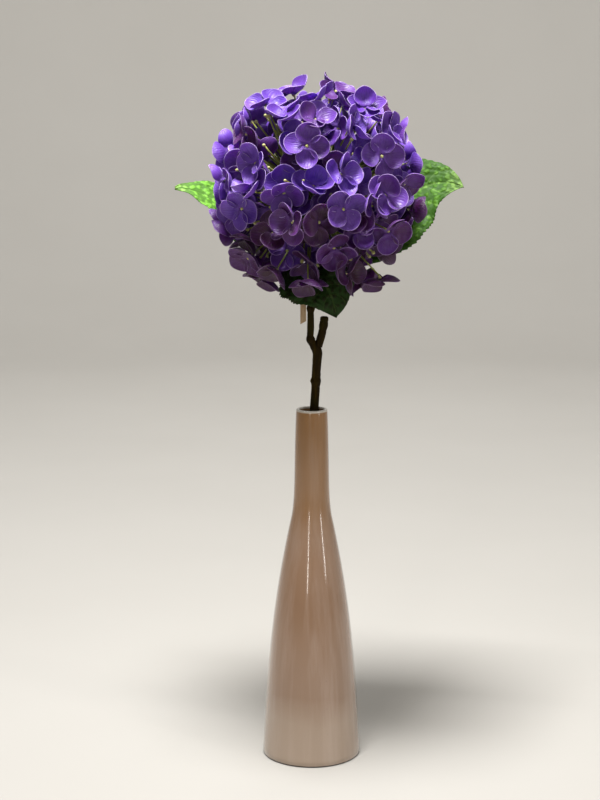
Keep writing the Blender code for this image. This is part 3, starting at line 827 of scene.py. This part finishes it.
def floret_mesh(name, seat, chance, low):
    """Four petals on one seat, each with its own cup, slope, roll and tint, the florets low on the
    bloom painted darker as shade.
    """
    base, axis, turn, slopes = seat
    side = axis.cross(turn)
    pose = np.array([turn, side, axis])
    cloth = Cloth()
    # Darker plum lower down the bloom: partly the flowers' own colour, partly painted shade from the
    # light above.
    tone_and_painted_light = min(1, max(0, chance.gauss(0.30 + 0.65 * low, 0.24)))
    for petal, slope in enumerate(slopes):
        cup = chance.uniform(0.0036, 0.0066)
        width = PETAL_WIDTH * chance.uniform(0.94, 1.05)
        lift = 0.0007 * (petal % 2) + chance.uniform(0, 0.0003)
        ripple = chance.uniform(0.0003, 0.0010)
        phase = chance.uniform(0, math.tau)
        grid, u, v, rim = petal_grid(PETAL_STEPS, PETAL_STEPS, width, cup, lift, ripple, phase)
        pitch = math.atan(slope) - cup / PETAL_LENGTH * 0.8 + chance.uniform(-0.16, 0.30)
        grid = grid * chance.uniform(0.95, 1.04)
        grid = grid @ turned(chance.uniform(-0.5, 0.5), "X")
        grid = grid @ turned(-pitch, "Y")
        grid = grid @ turned(math.pi / 2 * petal + chance.uniform(-0.10, 0.10), "Z")
        placed = grid @ pose + np.array(base + axis * 0.0004)
        tint_and_painted_shade = min(1, max(0, tone_and_painted_light + chance.uniform(-0.12, 0.12)))
        cloth.add(placed, CLOTH, u, v, rim, tint_and_painted_shade)
    return cloth.mesh(name)


def coarse_tree(seat):
    """A light search tree of a floret, for telling whether two of them touch."""
    base, axis, turn, slopes = seat
    pose = np.array([turn, axis.cross(turn), axis])
    flat = petal_grid(5, 5, PETAL_WIDTH, 0.0045, 0, 0, 0)[0]
    corners = []
    faces = []
    for petal, slope in enumerate(slopes):
        grid = flat @ turned(-math.atan(slope), "Y") @ turned(math.pi / 2 * petal, "Z")
        first = len(corners)
        corners += [Vector(point) for point in (grid @ pose + np.array(base)).reshape(-1, 3)]
        for row in range(4):
            for column in range(4):
                a = first + row * 5 + column
                faces.append((a, a + 5, a + 6, a + 1))
    return BVHTree.FromPolygons(corners, faces)


def hub_middle():
    """The middle of the swollen stem top that the stalks grow from."""
    points = unique_points("stem")
    top = points[points[:, 2] > points[:, 2].max() - 0.0001].mean(axis=0)
    return Vector(top) + Vector((0, 0, HUB_HALF_HEIGHT + 0.0003))


def filler_seats(seats, middle, radius, blocked, chance):
    """Seats for the florets between and behind the main ones, where they touch the fewest."""
    trees = [coarse_tree(seat) for seat in seats] + blocked
    fillers = []
    span = 1 - math.cos(BLOOM_OPENING)
    for number in range(FILLER_FLORETS):
        height = 1 - (number + 0.5) * span / FILLER_FLORETS
        angle = GOLDEN_ANGLE * number + 1.1
        ring = math.sqrt(1 - height * height)
        even = Vector((ring * math.cos(angle), ring * math.sin(angle), height))
        best = None
        for _ in range(FILLER_TRIES):
            aim = even + Vector([chance.uniform(-0.20, 0.20) for _ in range(3)])
            aim.normalize()
            depth = chance.uniform(-0.028, 0.006 if aim.z > 0.4 or aim.y < -0.75 else -0.006)
            base = middle + aim * (radius + depth)
            slant = aim + Vector([chance.uniform(-0.70, 0.70) for _ in range(3)])
            slant = (slant + Vector((0, 0, 0.35 * max(0, -aim.z)))).normalized()
            turn = slant.orthogonal().normalized()
            turn = Matrix.Rotation(chance.uniform(0, math.pi / 2), 3, slant) @ turn
            slopes = [chance.uniform(0.25, 0.75) for _ in range(4)]
            seat = (base, slant, turn, slopes)
            tree = coarse_tree(seat)
            touches = sum(len(tree.overlap(other)) for other in trees)
            if best is None or touches < best[0]:
                best = (touches, seat, tree)
            if touches == 0:
                break
        if best[0] <= MOST_TOUCHES:
            fillers.append(best[1])
            trees.append(best[2])
    return fillers


# Spray: hub, stalks and buds


def stalk_tree():
    """Geometry Nodes: paths become round stalks, as thick at each step as the path says."""
    tree = bpy.data.node_groups.new("stalks", "GeometryNodeTree")
    face = tree.interface
    face.new_socket("Paths", in_out="INPUT", socket_type="NodeSocketGeometry")
    face.new_socket("Sides", in_out="INPUT", socket_type="NodeSocketInt")
    face.new_socket("Material", in_out="INPUT", socket_type="NodeSocketMaterial")
    face.new_socket("Stalks", in_out="OUTPUT", socket_type="NodeSocketGeometry")
    nodes = tree.nodes
    links = tree.links
    entry = nodes.new("NodeGroupInput")
    to_curve = nodes.new("GeometryNodeMeshToCurve")
    links.new(entry.outputs["Paths"], to_curve.inputs["Mesh"])
    thick = nodes.new("GeometryNodeInputNamedAttribute")
    thick.data_type = "FLOAT"
    thick.inputs["Name"].default_value = "thick"
    circle = nodes.new("GeometryNodeCurvePrimitiveCircle")
    circle.inputs["Radius"].default_value = 1
    links.new(entry.outputs["Sides"], circle.inputs["Resolution"])
    sweep = nodes.new("GeometryNodeCurveToMesh")
    sweep.inputs["Fill Caps"].default_value = True
    links.new(to_curve.outputs["Curve"], sweep.inputs["Curve"])
    links.new(circle.outputs["Curve"], sweep.inputs["Profile Curve"])
    links.new(thick.outputs["Attribute"], sweep.inputs["Scale"])
    soft = nodes.new("GeometryNodeSetShadeSmooth")
    links.new(sweep.outputs["Mesh"], soft.inputs["Geometry"])
    whole = nodes.new("GeometryNodeRealizeInstances")
    links.new(soft.outputs["Geometry"], whole.inputs["Geometry"])
    finish = nodes.new("GeometryNodeSetMaterial")
    links.new(whole.outputs["Geometry"], finish.inputs["Geometry"])
    links.new(entry.outputs["Material"], finish.inputs["Material"])
    leave = nodes.new("NodeGroupOutput")
    links.new(finish.outputs["Geometry"], leave.inputs["Stalks"])
    return tree


def path_mesh(name, paths):
    """Paths of (place, thickness, bud) steps as a mesh of edges with attributes."""
    places = []
    edges = []
    thick = []
    bud = []
    for path in paths:
        first = len(places)
        for place, width, budness in path:
            places.append(place)
            thick.append(width)
            bud.append(budness)
        edges += [(number, number + 1) for number in range(first, len(places) - 1)]
    mesh = bpy.data.meshes.new(name)
    mesh.from_pydata([tuple(place) for place in places], edges, [])
    for label, values in (("thick", thick), ("bud", bud)):
        layer = mesh.attributes.new(label, "FLOAT", "POINT")
        layer.data.foreach_set("value", values)
    return mesh


def grown(name, paths, sides, material):
    """Run the stalk tree on a set of paths and keep its plain mesh."""
    piece = bpy.data.objects.new(name, path_mesh(name, paths))
    bpy.context.scene.collection.objects.link(piece)
    tree = stalk_tree()
    modifier = piece.modifiers.new("stalks", "NODES")
    modifier.node_group = tree
    sockets = {item.name: item.identifier for item in tree.interface.items_tree}
    modifier[sockets["Sides"]] = sides
    modifier[sockets["Material"]] = material
    bpy.context.view_layer.update()
    view = bpy.context.evaluated_depsgraph_get()
    mesh = bpy.data.meshes.new_from_object(piece.evaluated_get(view))
    bpy.data.objects.remove(piece)
    return mesh


def bud_end(tip, axis, radius, height, stalk):
    """The last steps of a path: a small round bud on the end of its stalk."""
    steps = []
    for step in range(9):
        angle = math.pi * step / 8
        width = max(radius * math.sin(angle), stalk if step < 2 else radius * 0.08)
        steps.append((tip + axis * height * (1 - math.cos(angle)) / 2, width, 1.0))
    return steps


def floret_stalk(seat, hub, chance):
    """A stalk from the hub, bowed a little, up through the floret to its bud."""
    base, axis, turn, _ = seat
    root = hub + (base - hub).normalized() * 0.010
    bow = turn * chance.uniform(-0.002, 0.002)
    path = []
    for step in range(9):
        share = step / 8
        width = 0.0011 - 0.0004 * share
        path.append((root.lerp(base, share) + bow * math.sin(math.pi * share), width, share * 0.5))
    return path + bud_end(base + axis * 0.0004, axis, 0.0017, 0.0034, 0.0009)


def make_spray(seats, fillers, hub, material):
    """Hub, stalks and buds; and short bare stalks with closed buds in the gaps."""
    chance = random.Random(SEED + 5)
    paths = [floret_stalk(seat, hub, chance) for seat in seats + fillers]
    mesh = grown("moulded_spray", paths, 10, material)
    bm = bmesh.new()
    bm.from_mesh(mesh)
    knob = bmesh.ops.create_uvsphere(bm, u_segments=28, v_segments=20, radius=1)
    for vertex in knob["verts"]:
        lump = 1 + 0.10 * noise.noise(vertex.co * 3)
        x, y, z = vertex.co
        vertex.co = hub + Vector((x * HUB_RADIUS, y * HUB_RADIUS, z * HUB_HALF_HEIGHT)) * lump
    for face in bm.faces:
        face.smooth = True
    bm.to_mesh(mesh)
    bm.free()
    put("moulded_spray", mesh, material, "spray_plastic", "flower_spray")
    closed = []
    for number in range(CLOSED_BUDS):
        height = 1 - (number + 0.5) * 1.8 / CLOSED_BUDS
        angle = GOLDEN_ANGLE * number
        ring = math.sqrt(1 - height * height)
        aim = Vector((ring * math.cos(angle), ring * math.sin(angle), height))
        aim = (aim + Vector([chance.uniform(-0.1, 0.1) for _ in range(3)])).normalized()
        length = chance.uniform(0.060, 0.084)
        tip = hub + Vector((0, 0, 0.008)) + aim * length
        root = hub + aim * 0.020
        side = aim.orthogonal() * chance.uniform(-0.003, 0.003)
        path = []
        for step in range(6):
            share = step / 5
            path.append((root.lerp(tip, share) + side * math.sin(math.pi * share), 0.0008, share * 0.7))
        size = chance.uniform(0.0011, 0.0019)
        closed.append(path + bud_end(tip, aim, size, size * 2.2, 0.0007))
    buds = grown("closed_buds", closed, 8, material)
    put("closed_buds", buds, material, "spray_plastic")


def lowness(seat, middle, radius):
    """How far down the bloom a seat is: 0 over the middle, 1 at the bottom."""
    return min(1, max(0, (middle.z + radius * 0.15 - seat[0].z) / radius))


def make_florets(material, spray_material):
    """Every floret of the bloom, main ones and fillers, and the spray that carries them."""
    names = sorted(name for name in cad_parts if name.startswith("floret_"))
    seats = [seat_of(name) for name in names]
    hub = hub_middle()
    middle = sphere_middle(seats)
    radius = sum((seat[0] - middle).length for seat in seats) / len(seats)
    for name, seat in zip(names, seats):
        chance = random.Random(SEED * 1000 + int(name[-2:]))
        mesh = floret_mesh("cloth_" + name, seat, chance, lowness(seat, middle, radius))
        put("cloth_" + name, mesh, material, "petal_cloth", name)
    blocked = [node_tree(node) for node in (*LEAVES, "stem")]
    chance = random.Random(SEED)
    fillers = filler_seats(seats, middle, radius, blocked, chance)
    for number, seat in enumerate(fillers):
        chance = random.Random(SEED * 77 + number)
        name = "filler_floret_%02d" % (number + 1)
        mesh = floret_mesh(name, seat, chance, lowness(seat, middle, radius))
        put(name, mesh, material, "petal_cloth")
    make_spray(seats, fillers, hub, spray_material)


def node_tree(node):
    """A search tree of a CAD node."""
    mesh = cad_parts[node].data
    return BVHTree.FromPolygons(
        [vertex.co for vertex in mesh.vertices], [tuple(face.vertices) for face in mesh.polygons]
    )


def sphere_middle(seats):
    """The middle of the ball that the florets' seats lie on, by least squares."""
    rows = np.array([[*(2 * seat[0]), 1] for seat in seats])
    sizes = np.array([seat[0].length_squared for seat in seats])
    return Vector(np.linalg.lstsq(rows, sizes, rcond=None)[0][:3])


# Studio


def add_light(name, place, target, size, power, colour=(1, 1, 1)):
    """A rectangular light at a place, turned to its target."""
    light = bpy.data.lights.new(name, "AREA")
    light.shape = "RECTANGLE"
    light.size, light.size_y = size
    light.energy = power
    light.color = colour
    lamp = bpy.data.objects.new(name, light)
    lamp.location = place
    direction = Vector(target) - Vector(place)
    lamp.rotation_euler = direction.to_track_quat("-Z", "Y").to_euler()
    bpy.context.scene.collection.objects.link(lamp)


def studio():
    """A pale floor that sweeps up all round, a high soft light, two tall strips and a wall light."""
    flat, bend, top = 2.6, 1.2, 3.2
    profile = [(0, 0), (0.5, 0), (1.2, 0), (flat, 0)]
    for step in range(1, 13):
        angle = math.pi / 2 * step / 12
        profile.append((flat + bend * math.sin(angle), bend * (1 - math.cos(angle))))
    profile.append((flat + bend, top))
    mesh = turned_mesh("studio_floor", profile, 96, 0.0001, closed=False)
    floor = bpy.data.objects.new("studio_floor", mesh)
    bpy.context.scene.collection.objects.link(floor)
    pale = Finish("pale_floor", 0.8)
    pale.colour(pale.ramp(pale.noise(3, 2), (0.0, (0.46, 0.44, 0.405)), (1.0, (0.49, 0.47, 0.435))))
    mesh.materials.append(pale.material)
    world = bpy.data.worlds.new("studio_air")
    bpy.context.scene.world = world
    world.use_nodes = True
    air = world.node_tree.nodes["Background"]
    air.inputs["Color"].default_value = (0.92, 0.91, 0.88, 1)
    air.inputs["Strength"].default_value = 0.27
    add_light("overhead", (-0.10, -0.30, 1.80), (0.0, 0.0, 0.50), (0.42, 0.42), 50)
    add_light("backdrop", (0, 1.2, 2.6), (0, 3.7, 0.5), (1.8, 0.6), 58)
    add_light("front_strip", (-0.55, -2.15, 0.85), (0, 0, 0.35), (0.08, 1.3), 5, (1.0, 0.95, 0.88))
    add_light("right_strip", (1.35, -1.05, 0.85), (0, 0, 0.30), (0.10, 1.3), 4.5, (1.0, 0.97, 0.93))


def add_camera():
    """Level with the top of the bloom and looking a little down at the whole arrangement."""
    camera = bpy.data.cameras.new("camera")
    camera.lens = 76.3
    camera.sensor_width = 36
    holder = bpy.data.objects.new("camera", camera)
    holder.location = (-0.0111, -1.57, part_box("vase")[1].z + 0.285)
    holder.rotation_euler = (math.radians(80), 0, 0)
    bpy.context.scene.collection.objects.link(holder)
    bpy.context.scene.camera = holder
    bpy.context.scene.view_settings.view_transform = "Standard"


def main():
    """Studio first, then each piece from the vase up."""
    add_camera()
    studio()
    petals = petal_finish()
    spray = spray_finish()
    leaves = leaf_finish()
    make_vase(glaze_finish())
    make_florets(petals, spray)
    reach = VASE_RIM_RADIUS - VASE_WALL - STEM_RADIUS - STEM_GAP
    across = (reach * math.cos(STEM_LEAN_WAY), reach * math.sin(STEM_LEAN_WAY))
    rim = Vector((*across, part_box("vase")[1].z))
    make_stem(rim, stem_finish())
    for node, shape in LEAVES.items():
        make_leaf(node, shape, rim + BRANCH_SHIFT, rim + BLOOM_MIDDLE, leaves)
    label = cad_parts["paper_label"]
    label.data.materials.clear()
    label.data.materials.append(paper_finish())


main()
